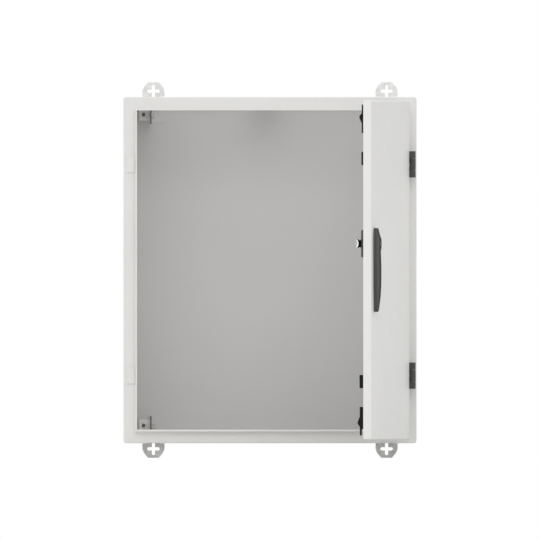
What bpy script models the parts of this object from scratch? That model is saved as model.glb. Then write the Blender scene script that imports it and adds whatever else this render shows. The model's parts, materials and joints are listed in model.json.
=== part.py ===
"""Wall-mounted sheet-steel battery box with a hinged door and a three-point lever lock.

Frame: +X right, +Z up, the front faces -Y. The origin is the centre of the back face, in the
plane of the wall. The door stands open by DOOR_ANGLE; its pieces are laid out with the door
shut and then turn with the empty on the hinge axis. A place on the door is (u, v, z): u runs
from its free edge to its hinge edge, v from its outer face inwards, z up from mid-height.
"""

import math

import bmesh
import bpy
from mathutils import Matrix, Vector

# ---- Driving dimensions, in metres ----
GAP = 0.0003  # clearance between pieces that touch
SHEET = 0.0015  # sheet steel of cabinet and door
BIG = 0.010  # how far a cutter runs past the wall that it cuts

# Cabinet
BODY_W = 0.550
BODY_H = 0.650
CLOSED_DEPTH = 0.225  # wall to door face, door shut
CORNER_R = 0.005
BEND_R = 0.0025
FLANGE_W = 0.022  # front flange, out to in
LIP_H = 0.0106  # rain lip, standing forward of the flange
HEM_W = 0.0034  # thickness of the folded lip
HEM_H = 0.008
ENTRY_W = 0.200  # cable entries in top and bottom
ENTRY_D = 0.120
ENTRY_PITCH = 0.250
ENTRY_FROM_WALL = 0.042

# Wall lugs
LUG_X = BODY_W / 2 - 0.0562
LUG_T = 0.0025
LUG_W = 0.0415
LUG_TOP_W = 0.0198
LUG_NECK_W = 0.024
LUG_RISE = 0.0275  # above the cabinet
LUG_SHOULDER = 0.011  # height where the corners start to close in
LUG_DROP = 0.041  # below the cabinet's edge
CROSS_RISE = 0.0107  # centre of the cross slot above the cabinet's edge
CROSS_L = 0.023
CROSS_W = 0.006
PAD_W = 0.050  # recess pressed into the back panel
PAD_H = 0.047
PAD_SHIFT = 0.003
LUG_SCREW_DROPS = (0.0133, 0.0333)
LUG_SCREW_R = 0.003
LUG_SCREW_HEAD_R = 0.0053
LUG_SCREW_HEAD_T = 0.0036

# Corner brackets inside
BRACKET_T = 0.003
BRACKET_W = 0.0228  # from its free edge to the far side of the upright
BRACKET_X = BODY_W / 2 - 0.030
BRACKET_DEPTH = 0.042
BRACKET_PLATE_TOP = 0.0444  # plate's inner end, below the cabinet's edge
BRACKET_UPRIGHT_TOP = 0.051
BRACKET_END = 0.009
BRACKET_HOLE_X = BODY_W / 2 - 0.0376
BRACKET_HOLE_DROP = 0.0332
BRACKET_SCREW_R = 0.0025
BRACKET_SCREW_HEAD_R = 0.0033
BRACKET_SCREW_HEAD_T = 0.0024

# Door
DOOR_MARGIN = 0.007  # cabinet showing around the shut door
DOOR_EDGE = 0.0155  # depth of the door's returns
DOOR_STANDOFF = 0.005  # between the returns and the flange
DOOR_ANGLE = math.radians(82.3)
DOOR_BEND_R = 0.002
RELIEF_R = 0.0012
GASKET_W = 0.012

# Hinges
HINGE_Z = BODY_H / 2 - 0.1267
HINGE_H = 0.050
HINGE_PROUD = 0.00585  # axis in front of the door's face
KNUCKLE_R = 0.0055
PIN_R = 0.002
MIDDLE_KNUCKLE_H = 0.0214
ARM_T = 0.0045
WEB_T = 0.0054
STRAP_T = 0.0041
LEAF_BACK_V = 0.0128  # clear of the rain lip as the door swings
EAR_REACH = 0.013
FOOT_W = 0.0154
FOOT_H = 0.0306
FOOT_T = 0.0015
PLUG_W = 0.0124
PLUG_H = 0.0264
CLAMP_T = 0.0025
CLAMP_MARGIN = 0.003
MOUNT_SCREW_R = 0.0025
MOUNT_SCREW_HEAD_R = 0.0045
MOUNT_SCREW_HEAD_T = 0.0028
HINGE_SCREW_BITE = 0.007  # thread of that screw in front of the flange
HINGE_SCREW_R = 0.0018
HINGE_SCREW_HEAD_R = 0.0034
HINGE_SCREW_HEAD_T = 0.0018

# Lever handle
AXIS_U = 0.040
AXIS_Z = 0.0495
BASE_T = 0.0045
BASE_INSET = 0.0014  # the base is narrower than the lever
HUB_R = 0.009
BARREL_R = 0.008
BARREL_T = 0.003
BARREL_SUNK = 0.0006
KEYWAY_W = 0.0014
KEYWAY_L = 0.008
SPINDLE_W = 0.007
LEVER_ROUNDING = 0.0012
# Lever along its length: height above mid-door, height above the door's face, half-width.
LEVER_STATIONS = (
    (0.0788, 0.0064, 0.0092),
    (0.0735, 0.0074, 0.0122),
    (0.0655, 0.0090, 0.0136),
    (0.0580, 0.0117, 0.0136),
    (0.0410, 0.0117, 0.0136),
    (0.0350, 0.0106, 0.0133),
    (0.0240, 0.0112, 0.0130),
    (0.0060, 0.0117, 0.0127),
    (-0.0280, 0.0117, 0.0121),
    (-0.0470, 0.0107, 0.0116),
    (-0.0620, 0.0092, 0.0110),
    (-0.0730, 0.0078, 0.0103),
    (-0.0788, 0.0066, 0.0084),
)

# Lock inside the door
CASE_W = 0.036
CASE_H = 0.052
CASE_V = 0.0106  # inner face of the lock plate's near side
LOCK_PLATE_T = 0.002
ROD_SPACE = 0.0048
COVER_T = 0.0054
PILLAR_R = 0.0045
LOCK_SCREW_R = 0.002
LOCK_SCREW_SPREAD = 0.032
LOCK_SCREW_HEAD_R = 0.004
LOCK_SCREW_HEAD_T = 0.0027
LOCK_SCREW_BITE = 0.75 * BASE_T  # thread in the handle's base
PINION_R = 0.008
PINION_TEETH = 12
PRESSURE_ANGLE = math.radians(20)
BACKLASH = 0.0006
SPACER_R = 0.0085
SPACER_T = 0.0022
TONGUE_T = 0.0025
TONGUE_REACH = AXIS_U - 0.008
TONGUE_R = 0.0122
TONGUE_ARC = math.radians(41)
TONGUE_DISC_R = 0.0068
TONGUE_START = 0.0075  # trough's inner end from the axis
TONGUE_SCREW_R = 0.0022
TONGUE_SCREW_HEAD_R = 0.0046
TONGUE_SCREW_HEAD_T = 0.0032

# Locking rods
ROD_W = 0.010
ROD_T = 0.003
RACK_TEETH = 7
ROD_TOP = BODY_H / 2 - 0.0290  # end of each rod from mid-door
JOG_START = 0.038  # from the lock axis
JOG_LENGTH = 0.023
SHOE_W = 0.0136
SHOE_END = ROD_TOP - 0.0390
SHOE_SHOULDER = ROD_TOP + 0.0025
HOOK_END = ROD_TOP + 0.0146
HOOK_T = 0.0023
SHOE_T = 0.0128
RAMP_START = ROD_TOP - 0.0220
RAMP_END = ROD_TOP - 0.0013
RAMP_H = 0.0043
RIVET_R = 0.0015
GUIDE_Z = ROD_TOP - 0.0866
GUIDE_H = 0.025
GUIDE_HEAD_T = 0.0140
GUIDE_WALL = 0.0018

# ---- Places that follow from them ----
FLANGE_Y = -(CLOSED_DEPTH - DOOR_EDGE - DOOR_STANDOFF)
BODY_DEPTH = -FLANGE_Y
FACE_Y = -CLOSED_DEPTH
DOOR_W = BODY_W - 2 * DOOR_MARGIN
DOOR_H = BODY_H - 2 * DOOR_MARGIN
FREE_X = -DOOR_W / 2
HINGE_X = DOOR_W / 2
HINGE_Y = FACE_Y - HINGE_PROUD
HOLE_X = BODY_W / 2 - FLANGE_W + FOOT_W / 2 + GAP  # centre of each hinge cut-out
PAD_FACE_Y = -LUG_T - GAP - SHEET  # inner face of the recesses in the back
LIP_X = BODY_W / 2 - FLANGE_W  # outer side of the lip
LIP_Z = BODY_H / 2 - FLANGE_W
FLANGE_V = DOOR_EDGE + DOOR_STANDOFF
HOOK_V = FLANGE_V + SHEET + 0.5 * SHEET / 2 + GAP / 2
INNER_V = SHEET + GAP  # first clear depth inside the door's face
GASKET_T = FLANGE_V - LIP_H - GAP - INNER_V
SOCKET_HALF = SPINDLE_W / 2 + GAP
SPINDLE_HOLE_R = SPINDLE_W / math.sqrt(2) + 3 * GAP
ROD_SPACE_V = CASE_V + LOCK_PLATE_T
ROD_V = ROD_SPACE_V + (ROD_SPACE - ROD_T) / 2
COVER_V = ROD_SPACE_V + ROD_SPACE
COVER_TOP_V = COVER_V + COVER_T
SPACER_V = COVER_TOP_V + GAP
TONGUE_V = SPACER_V + SPACER_T + GAP
TONGUE_BACK_V = TONGUE_V + TONGUE_T
SPINDLE_START_V = -0.0062
LEVER_BACK_V = -(BASE_T + 2 * GAP)
ROD_OFFSET = PINION_R + ROD_W / 2  # rod's centre line from the lock axis
MODULE = 2 * PINION_R / PINION_TEETH
TOOTH_PITCH = math.pi * MODULE
RACK_ADDENDUM = 0.675 * MODULE
RACK_DEDENDUM = 1.2 * MODULE
PINION_ADDENDUM = 0.975 * MODULE
PINION_DEDENDUM = 0.9 * MODULE

ENDS = ((1, "upper"), (-1, "lower"))

BOX = bpy.data.collections.new("battery_box")
CUTTERS = bpy.data.collections.new("cutters")


# ---- Materials ----
def finish(name, colour, roughness, metallic=0.0):
    """A plain Principled material."""
    made = bpy.data.materials.new(name)
    made.use_nodes = True
    shader = made.node_tree.nodes["Principled BSDF"]
    shader.inputs["Base Color"].default_value = (*colour, 1.0)
    shader.inputs["Roughness"].default_value = roughness
    shader.inputs["Metallic"].default_value = metallic
    made.diffuse_color = (*colour, 1.0)
    return made


def light_grey_paint(name):
    return finish(name, (0.76, 0.76, 0.74), 0.45)


def grey_sheet(name):
    return finish(name, (0.45, 0.45, 0.44), 0.5, 0.1)


def zinc(name):
    return finish(name, (0.62, 0.63, 0.64), 0.35, 0.9)


def black_plastic(name):
    return finish(name, (0.03, 0.03, 0.032), 0.5)


def foam(name):
    return finish(name, (0.10, 0.10, 0.105), 0.9)


# ---- Building blocks ----
def add_object(name, data, colour=None):
    """An object in the part's collection, with its own material if it has a colour."""
    made = bpy.data.objects.new(name, data)
    BOX.objects.link(made)
    if colour:
        made.data.materials.append(colour(name))
    return made


def mesh_object(name, bm, colour=None):
    bmesh.ops.recalc_face_normals(bm, faces=bm.faces)
    mesh = bpy.data.meshes.new(name)
    bm.to_mesh(mesh)
    bm.free()
    return add_object(name, mesh, colour)


def block(name, corner, opposite, colour=None):
    """A rectangular block between two opposite corners, its origin at its centre."""
    low = Vector(map(min, corner, opposite))
    high = Vector(map(max, corner, opposite))
    bm = bmesh.new()
    bmesh.ops.create_cube(bm, size=1.0)
    bmesh.ops.scale(bm, vec=high - low, verts=bm.verts)
    made = mesh_object(name, bm, colour)
    made.location = (low + high) / 2
    return made


def cylinder(name, radius, start, end, colour=None, sides=20):
    """A cylinder between two points; six sides make a hexagon."""
    start, end = Vector(start), Vector(end)
    bm = bmesh.new()
    bmesh.ops.create_cone(
        bm, cap_ends=True, segments=sides, radius1=radius, radius2=radius, depth=(end - start).length
    )
    made = mesh_object(name, bm, colour)
    made.location = (start + end) / 2
    made.rotation_mode = "QUATERNION"
    made.rotation_quaternion = (end - start).to_track_quat("Z", "Y")
    if sides > 6:
        smooth(made)
    return made


def smooth(obj):
    obj.data.shade_smooth()
    obj.data.set_sharp_from_angle(angle=math.radians(35))


def polygon(name, outlines, thickness, colour=None):
    """A flat plate in the plane y = 0 of its own frame, from an outline and its holes."""
    curve = bpy.data.curves.new(name, "CURVE")
    curve.dimensions = "2D"
    curve.fill_mode = "BOTH"
    curve.extrude = thickness / 2
    for outline in outlines:
        spline = curve.splines.new("POLY")
        spline.points.add(len(outline) - 1)
        spline.use_cyclic_u = True
        for point, (across, up) in zip(spline.points, outline):
            point.co = (across, up, 0.0, 1.0)
    made = add_object(name, curve, colour)
    made.rotation_euler.x = math.pi / 2
    return made


def circle(centre, radius, count=16):
    """Points around a circle in a flat outline."""
    return [
        (centre[0] + radius * math.cos(turn), centre[1] + radius * math.sin(turn))
        for turn in (2 * math.pi * k / count for k in range(count))
    ]


def hide_tool(tool, obj):
    """Takes a cutter or a joined block out of the model and ties it to the piece that it shapes."""
    BOX.objects.unlink(tool)
    CUTTERS.objects.link(tool)
    tool.hide_render = True
    tool.display_type = "WIRE"
    bpy.context.view_layer.update()
    tool.parent = obj
    tool.matrix_parent_inverse = obj.matrix_world.inverted()


def boolean(obj, tools, operation):
    for tool in tools:
        modifier = obj.modifiers.new(f"{operation.lower()}_{tool.name}", "BOOLEAN")
        modifier.operation = operation
        modifier.object = tool
        hide_tool(tool, obj)
    return obj


def cut(obj, *tools):
    return boolean(obj, tools, "DIFFERENCE")


def join(obj, *tools):
    return boolean(obj, tools, "UNION")


def bevel(obj, width, segments=2, angle=40):
    modifier = obj.modifiers.new("rounding", "BEVEL")
    modifier.width = width
    modifier.segments = segments
    modifier.limit_method = "ANGLE"
    modifier.angle_limit = math.radians(angle)
    return obj


def sheet_metal(obj, thickness=SHEET):
    """Gives an open surface its wall, inwards from the outer face."""
    modifier = obj.modifiers.new("sheet", "SOLIDIFY")
    modifier.solidify_mode = "NON_MANIFOLD"
    modifier.nonmanifold_thickness_mode = "CONSTRAINTS"
    modifier.thickness = thickness
    modifier.offset = -1.0
    return obj


def screw_profile(shank_r, length, head_r, head_t):
    """Half the section of a socket-head screw; its seat is at height 0."""
    recess_r = head_r * 0.4
    recess_z = head_t * 0.4
    profile = (
        (0.0, recess_z),
        (recess_r, recess_z),
        (recess_r, head_t),
        (head_r * 0.88, head_t),
        (head_r, head_t * 0.7),
        (head_r, 0.0),
        (shank_r, 0.0),
        (shank_r, -length),
        (0.0, -length),
    )
    bm = bmesh.new()
    corners = [bm.verts.new((radius, 0.0, height)) for radius, height in profile]
    for upper, lower in zip(corners, corners[1:]):
        bm.edges.new((upper, lower))
    mesh = bpy.data.meshes.new("screw_profile")
    bm.to_mesh(mesh)
    bm.free()
    mesh.materials.append(zinc("screw"))
    return mesh


def screw(name, profile, seat, facing):
    """One screw, from its section; its head faces the way given."""
    made = add_object(name, profile)
    made.location = seat
    made.rotation_mode = "QUATERNION"
    made.rotation_quaternion = Vector(facing).to_track_quat("Z", "Y")
    turn = made.modifiers.new("turn", "SCREW")
    turn.steps = turn.render_steps = 12
    turn.use_merge_vertices = True
    turn.merge_threshold = 0.00001
    return made


def pivot(name, place, parent=None):
    """An empty on a joint's axis."""
    made = add_object(name, None)
    made.empty_display_size = 0.05
    made.location = place
    if parent:
        ride(made, parent)
    return made


def ride(obj, parent):
    """Parents a piece without moving it."""
    bpy.context.view_layer.update()
    obj.parent = parent
    obj.matrix_parent_inverse = parent.matrix_world.inverted()


# ---- Cabinet ----
def front_folds(bm):
    """Folds the open front edge of the box into the flange, the rain lip and its hem."""
    half_w, half_h = BODY_W / 2, BODY_H / 2
    edges = [e for e in bm.edges if all(v.co.y < 0 for v in e.verts)]
    folds = ((FLANGE_W, 0.0), (0.0, LIP_H), (HEM_W, 0.0), (0.0, -HEM_H))
    for inwards, forwards in folds:
        made = bmesh.ops.extrude_edge_only(bm, edges=edges)["geom"]
        fresh = {item for item in made if isinstance(item, bmesh.types.BMVert)}
        edges = [e for e in bm.edges if fresh.issuperset(e.verts)]
        shrink = ((half_w - inwards) / half_w, 1.0, (half_h - inwards) / half_h)
        bmesh.ops.scale(bm, vec=shrink, verts=list(fresh))
        bmesh.ops.translate(bm, vec=(0.0, -forwards, 0.0), verts=list(fresh))
        half_w -= inwards
        half_h -= inwards


def outer_edges(bm, along_y):
    """The box's outer edges: its long corners, or the bend around its front."""
    found = []
    for edge in bm.edges:
        middle = (edge.verts[0].co + edge.verts[1].co) / 2
        outside = max(abs(middle.x) - BODY_W / 2, abs(middle.z) - BODY_H / 2) > -CORNER_R
        runs_along_y = abs(edge.verts[0].co.y - edge.verts[1].co.y) > BODY_DEPTH / 2
        at_front = all(v.co.y < 0 for v in edge.verts)
        folded = len(edge.link_faces) == 2
        if outside and folded and (runs_along_y if along_y else at_front):
            ends = [face.normal.y for face in edge.link_faces]
            if along_y or min(ends) < -0.5 < max(ends):
                found.append(edge)
    return found


def cabinet_shell():
    """The welded wrap of top, bottom and sides, with its front flange and rain lip."""
    bm = bmesh.new()
    bmesh.ops.create_cube(bm, size=1.0)
    bmesh.ops.scale(bm, vec=(BODY_W, BODY_DEPTH, BODY_H), verts=bm.verts)
    ends = [f for f in bm.faces if abs(f.normal.y) > 0.5]
    bmesh.ops.delete(bm, geom=ends, context="FACES_ONLY")
    front_folds(bm)
    bm.normal_update()
    bmesh.ops.bevel(
        bm, geom=outer_edges(bm, True), offset=CORNER_R, segments=3, profile=0.5, affect="EDGES"
    )
    bm.normal_update()
    bmesh.ops.bevel(
        bm, geom=outer_edges(bm, False), offset=BEND_R, segments=2, profile=0.5, affect="EDGES"
    )
    shell = open_shell("cabinet_shell", bm, light_grey_paint, Vector((0.0, 0.0, 1.0)))
    shell.location.y = FLANGE_Y / 2
    sheet_metal(shell)
    cut(shell, *entry_cutters(), *neck_cutters(), *hinge_hole_cutters())
    smooth(shell)
    return shell


def open_shell(name, bm, colour, top_normal):
    """An object from an open surface whose topmost face has to look along top_normal."""
    bmesh.ops.recalc_face_normals(bm, faces=bm.faces)
    extreme = max(bm.faces, key=lambda face: face.calc_center_median().dot(top_normal))
    if extreme.normal.dot(top_normal) < 0:
        bmesh.ops.reverse_faces(bm, faces=bm.faces)
    mesh = bpy.data.meshes.new(name)
    bm.to_mesh(mesh)
    bm.free()
    return add_object(name, mesh, colour)


def entry_cutters():
    """Two cable entries in the top and two in the bottom."""
    cutters = []
    for side in (-1, 1):
        for end in (-1, 1):
            x = side * ENTRY_PITCH / 2
            z = end * BODY_H / 2
            cutters.append(
                block(
                    "entry_cutter",
                    (x - ENTRY_W / 2, -ENTRY_FROM_WALL, z - BIG),
                    (x + ENTRY_W / 2, -ENTRY_FROM_WALL - ENTRY_D, z + BIG),
                )
            )
    return cutters


def neck_cutters():
    """Notches in the rear edges of top and bottom, where the lugs' necks pass."""
    half = LUG_NECK_W / 2 + GAP
    cutters = []
    for side in (-1, 1):
        for end in (-1, 1):
            x = side * LUG_X
            z = end * BODY_H / 2
            cutters.append(
                block("neck_cutter", (x - half, BIG, z - BIG), (x + half, -LUG_T - GAP, z + BIG))
            )
    return cutters


def hinge_hole_cutters():
    """Cut-outs for hinges in both side flanges, so that the door can hang on either side."""
    cutters = []
    for side in (-1, 1):
        for end in (-1, 1):
            centre = Vector((side * HOLE_X, FLANGE_Y, end * HINGE_Z))
            half = Vector((PLUG_W / 2 + GAP, BIG, PLUG_H / 2 + GAP))
            cutters.append(block("hinge_hole_cutter", centre - half, centre + half))
    return cutters


def back_panel():
    """The panel welded into the back, with four recesses pressed in for the lugs."""
    half_w = BODY_W / 2 - SHEET - GAP
    half_h = BODY_H / 2 - SHEET - GAP
    recess = LUG_T + GAP
    bm = bmesh.new()
    bmesh.ops.create_grid(bm, x_segments=1, y_segments=1, size=1.0)
    bmesh.ops.scale(bm, vec=(half_w, half_h, 1.0), verts=bm.verts)
    bmesh.ops.rotate(bm, matrix=Matrix.Rotation(-math.pi / 2, 3, "X"), verts=bm.verts)
    pad_z = BODY_H / 2 - PAD_H
    pad_x = [LUG_X + PAD_SHIFT + side * PAD_W / 2 for side in (-1, 1)]
    planes = [((sign * x, 0, 0), (1, 0, 0)) for x in pad_x for sign in (-1, 1)]
    planes += [((0, 0, sign * pad_z), (0, 0, 1)) for sign in (-1, 1)]
    for place, normal in planes:
        geometry = bm.verts[:] + bm.edges[:] + bm.faces[:]
        bmesh.ops.bisect_plane(bm, geom=geometry, plane_co=place, plane_no=normal)

    def on_pad(face):
        centre = face.calc_center_median()
        return pad_x[0] < abs(centre.x) < pad_x[1] and abs(centre.z) > pad_z and abs(centre.y) < GAP

    pads = [f for f in bm.faces if on_pad(f)]
    made = bmesh.ops.extrude_face_region(bm, geom=pads)["geom"]
    lifted = [item for item in made if isinstance(item, bmesh.types.BMVert)]
    bmesh.ops.translate(bm, vec=(0.0, -recess, 0.0), verts=lifted)
    bm.normal_update()

    def outer_wall(face):
        return abs(face.normal.z) > 0.5 and abs(face.calc_center_median().z) > half_h - GAP

    surplus = [f for f in bm.faces if on_pad(f) or outer_wall(f)]
    bmesh.ops.delete(bm, geom=surplus, context="FACES")
    corners = [v for v in bm.verts if abs(v.co.x) > half_w - GAP and abs(v.co.z) > half_h - GAP]
    inside_r = CORNER_R - SHEET - GAP
    bmesh.ops.bevel(bm, geom=corners, offset=inside_r, segments=3, profile=0.5, affect="VERTICES")
    panel = open_shell("back_panel", bm, grey_sheet, Vector((0.0, 1.0, 0.0)))
    sheet_metal(panel)
    for side, end in corner_signs():
        for drop in LUG_SCREW_DROPS:
            z = end * (BODY_H / 2 - drop)
            cut(panel, through_wall(side * LUG_X, z, LUG_SCREW_R + GAP))
        z = end * (BODY_H / 2 - BRACKET_HOLE_DROP)
        cut(panel, through_wall(side * BRACKET_HOLE_X, z, BRACKET_SCREW_R + GAP))
    return panel


def corner_signs():
    """Left or right, and top or bottom, for the four corners."""
    return [(side, end) for end in (1, -1) for side in (-1, 1)]


def corner_name(side, end):
    return ("top" if end > 0 else "bottom") + ("_left" if side < 0 else "_right")


def through_wall(x, z, radius, depth=2 * BIG):
    """A cutter for a screw hole along Y, from behind the back."""
    return cylinder("hole_cutter", radius, (x, BIG, z), (x, -depth, z), sides=16)


def lug_outline(end):
    """A wall lug seen from the front; end is 1 for an upper lug and -1 for a lower one."""
    edge = BODY_H / 2 + GAP
    neck, half, top = LUG_NECK_W / 2, LUG_W / 2, LUG_TOP_W / 2
    side = [
        (neck, BODY_H / 2 - LUG_DROP),
        (neck, edge),
        (half, edge),
        (half, BODY_H / 2 + LUG_SHOULDER),
        (half - 0.15 * LUG_W / 2, BODY_H / 2 + (LUG_SHOULDER + LUG_RISE) / 2 - 0.0007),
        (top, BODY_H / 2 + LUG_RISE),
    ]
    outline = side + [(-x, z) for x, z in reversed(side)]
    return [(x, end * z) for x, z in outline]


def cross_outline(end):
    """The cross-shaped slot of a lug, so that a wall screw can slide both ways."""
    centre = BODY_H / 2 + CROSS_RISE
    reach, half = CROSS_L / 2, CROSS_W / 2
    arm = [(half, half), (reach - half / 2, half), (reach, half / 2)]
    arm += [(reach, -half / 2), (reach - half / 2, -half)]
    points = []
    for quarter in range(4):
        turn = Matrix.Rotation(-quarter * math.pi / 2, 2)
        points += [turn @ Vector(point) for point in arm]
    return [(point.x, end * (centre + point.y)) for point in points]


def wall_lugs():
    """Four plates that hang the box on the wall, flush with its back."""
    for side, end in corner_signs():
        holes = [
            circle((0.0, end * (BODY_H / 2 - drop)), LUG_SCREW_R + GAP) for drop in LUG_SCREW_DROPS
        ]
        outlines = [lug_outline(end), cross_outline(end), *holes]
        lug = polygon(f"wall_lug_{corner_name(side, end)}", outlines, LUG_T, zinc)
        lug.location = (side * LUG_X, -LUG_T / 2, 0.0)


def lug_screws():
    """Two screws for each lug, from inside the cabinet."""
    seat = PAD_FACE_Y - GAP
    profile = screw_profile(LUG_SCREW_R, -seat - GAP, LUG_SCREW_HEAD_R, LUG_SCREW_HEAD_T)
    for side, end in corner_signs():
        for number, drop in enumerate(LUG_SCREW_DROPS, 1):
            place = (side * LUG_X, seat, end * (BODY_H / 2 - drop))
            screw(f"lug_screw_{corner_name(side, end)}_{number}", profile, place, (0.0, -1.0, 0.0))


def frame_brackets():
    """Four folded brackets in the corners, which carry an inner frame."""
    back = PAD_FACE_Y - GAP
    for side, end in corner_signs():
        outer = side * BRACKET_X
        inner = side * (BRACKET_X - BRACKET_W)
        near_edge = end * (BODY_H / 2 - BRACKET_END)
        name = f"frame_bracket_{corner_name(side, end)}"
        plate = block(
            name,
            (outer, back, near_edge),
            (inner, back - BRACKET_T, end * (BODY_H / 2 - BRACKET_PLATE_TOP)),
            zinc,
        )
        upright = block(
            "bracket_upright",
            (inner, back, near_edge),
            (inner + side * BRACKET_T, back - BRACKET_DEPTH, end * (BODY_H / 2 - BRACKET_UPRIGHT_TOP)),
        )
        join(plate, upright)
        hole_z = end * (BODY_H / 2 - BRACKET_HOLE_DROP)
        cut(plate, through_wall(side * BRACKET_HOLE_X, hole_z, BRACKET_SCREW_R + GAP))
        for drop in LUG_SCREW_DROPS:
            head_z = end * (BODY_H / 2 - drop)
            depth = LUG_SCREW_HEAD_T + 2 * GAP - PAD_FACE_Y
            cut(plate, through_wall(side * LUG_X, head_z, LUG_SCREW_HEAD_R + 2 * GAP, depth))


def bracket_screws():
    seat = PAD_FACE_Y - BRACKET_T - 2 * GAP
    profile = screw_profile(BRACKET_SCREW_R, -seat - GAP, BRACKET_SCREW_HEAD_R, BRACKET_SCREW_HEAD_T)
    for side, end in corner_signs():
        place = (side * BRACKET_HOLE_X, seat, end * (BODY_H / 2 - BRACKET_HOLE_DROP))
        screw(f"bracket_screw_{corner_name(side, end)}", profile, place, (0.0, -1.0, 0.0))


def foot_and_plug(name, side, end, colour):
    """A plate over a hinge cut-out with a plug in it: the base of a hinge or a blanking cover."""
    centre = Vector((side * HOLE_X, FLANGE_Y - GAP - FOOT_T / 2, end * HINGE_Z))
    half = Vector((FOOT_W / 2, FOOT_T / 2, FOOT_H / 2))
    foot = block(name, centre - half, centre + half, colour)
    plug_half = Vector((PLUG_W / 2, 0.0, PLUG_H / 2))
    front = Vector((centre.x, FLANGE_Y - FOOT_T / 2, centre.z))
    rear = Vector((centre.x, FLANGE_Y + SHEET + GAP / 2, centre.z))
    join(foot, block(f"{name}_plug", front - plug_half, rear + plug_half))
    return foot


def hinge_covers():
    """Blanking covers in the cut-outs of the side without hinges."""
    for end, place in ENDS:
        foot_and_plug(f"hinge_cover_{place}", -1, end, light_grey_paint)


# ---- Hinges ----
def hinge_mount(place, end):
    """The cabinet's half of a hinge: foot, arm and middle knuckle."""
    z = end * HINGE_Z
    mount = foot_and_plug(f"hinge_mount_{place}", 1, end, black_plastic)
    half = MIDDLE_KNUCKLE_H / 2
    arm = block(
        "hinge_arm",
        (HINGE_X - ARM_T, HINGE_Y, z - half),
        (HINGE_X, FLANGE_Y - FOOT_T / 2, z + half),
    )
    knuckle = cylinder("knuckle", KNUCKLE_R, (HINGE_X, HINGE_Y, z - half), (HINGE_X, HINGE_Y, z + half))
    join(mount, arm, knuckle)
    cut(mount, pin_cutter(z))
    cut(mount, mount_screw_cutter(z))
    return mount


def pin_cutter(z):
    reach = HINGE_H
    return cylinder(
        "pin_hole", PIN_R + GAP, (HINGE_X, HINGE_Y, z - reach), (HINGE_X, HINGE_Y, z + reach), sides=16
    )


def hinge_pin(place, end):
    """The steel pin, held by the cabinet's half."""
    z = end * HINGE_Z
    return cylinder(
        f"hinge_pin_{place}",
        PIN_R,
        (HINGE_X, HINGE_Y, z - HINGE_H / 2),
        (HINGE_X, HINGE_Y, z + HINGE_H / 2),
        zinc,
        sides=16,
    )


def hinge_clamp(place, end):
    """The plate behind the flange that the hinge's screws pull against."""
    z = end * HINGE_Z
    near = FLANGE_Y + SHEET + GAP
    clamp = block(
        f"hinge_clamp_{place}",
        (HOLE_X - PLUG_W / 2 - CLAMP_MARGIN, near + GAP, z - PLUG_H / 2 - CLAMP_MARGIN),
        (HOLE_X + PLUG_W / 2 + CLAMP_MARGIN, near + GAP + CLAMP_T, z + PLUG_H / 2 + CLAMP_MARGIN),
        zinc,
    )
    return cut(clamp, mount_screw_cutter(z))


def mount_screw_cutter(z):
    """The hole of the screw that clamps a hinge to the flange; its front end is blind."""
    start = FLANGE_Y - HINGE_SCREW_BITE - GAP
    return cylinder(
        "mount_screw_hole",
        MOUNT_SCREW_R + GAP,
        (HOLE_X, start, z),
        (HOLE_X, FLANGE_Y + BIG, z),
        sides=16,
    )


def hinge_mount_screw(place, end):
    seat = FLANGE_Y + SHEET + 3 * GAP + CLAMP_T
    length = seat - FLANGE_Y + HINGE_SCREW_BITE
    profile = screw_profile(MOUNT_SCREW_R, length, MOUNT_SCREW_HEAD_R, MOUNT_SCREW_HEAD_T)
    where = (HOLE_X, seat, end * HINGE_Z)
    return screw(f"hinge_mount_screw_{place}", profile, where, (0.0, 1.0, 0.0))


def hinge_leaf(place, end):
    """The door's half of a hinge: two knuckles, their webs, and a strap inside the door's edge."""
    z = end * HINGE_Z
    web_x = HINGE_X - WEB_T
    strap_x = web_x - STRAP_T
    reach = HINGE_H / 2 + EAR_REACH
    leaf = block(
        f"hinge_leaf_{place}",
        (strap_x, FACE_Y + INNER_V, z - reach),
        (web_x + GAP, FACE_Y + LEAF_BACK_V, z + reach),
        black_plastic,
    )
    low = MIDDLE_KNUCKLE_H / 2 + GAP
    high = HINGE_H / 2 - GAP
    for sign in (-1, 1):
        start, stop = z + sign * low, z + sign * high
        web = block(
            "hinge_web", (web_x, HINGE_Y, start), (HINGE_X, FACE_Y + LEAF_BACK_V, stop)
        )
        knuckle = cylinder("knuckle", KNUCKLE_R, (HINGE_X, HINGE_Y, start), (HINGE_X, HINGE_Y, stop))
        ear = block(
            "hinge_ear",
            (strap_x + GAP, FACE_Y + INNER_V, z + sign * (HINGE_H / 2 + 3 * GAP)),
            (HINGE_X - SHEET - GAP, FACE_Y + LEAF_BACK_V - GAP / 3, z + sign * (reach - GAP / 3)),
        )
        join(leaf, web, knuckle, ear)
        cut(leaf, ear_screw_cutter(z, sign, HINGE_SCREW_R + GAP))
    cut(leaf, pin_cutter(z))
    return leaf


def ear_screw_place(z, sign):
    """Where a leaf screw crosses the door's hinge edge."""
    return Vector((HINGE_X, FACE_Y + DOOR_EDGE / 2, z + sign * (HINGE_H / 2 + EAR_REACH / 2)))


def ear_screw_cutter(z, sign, radius):
    place = ear_screw_place(z, sign)
    along = Vector((BIG, 0.0, 0.0))
    return cylinder("ear_screw_hole", radius, place - 2 * along, place + along, sides=12)


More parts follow.
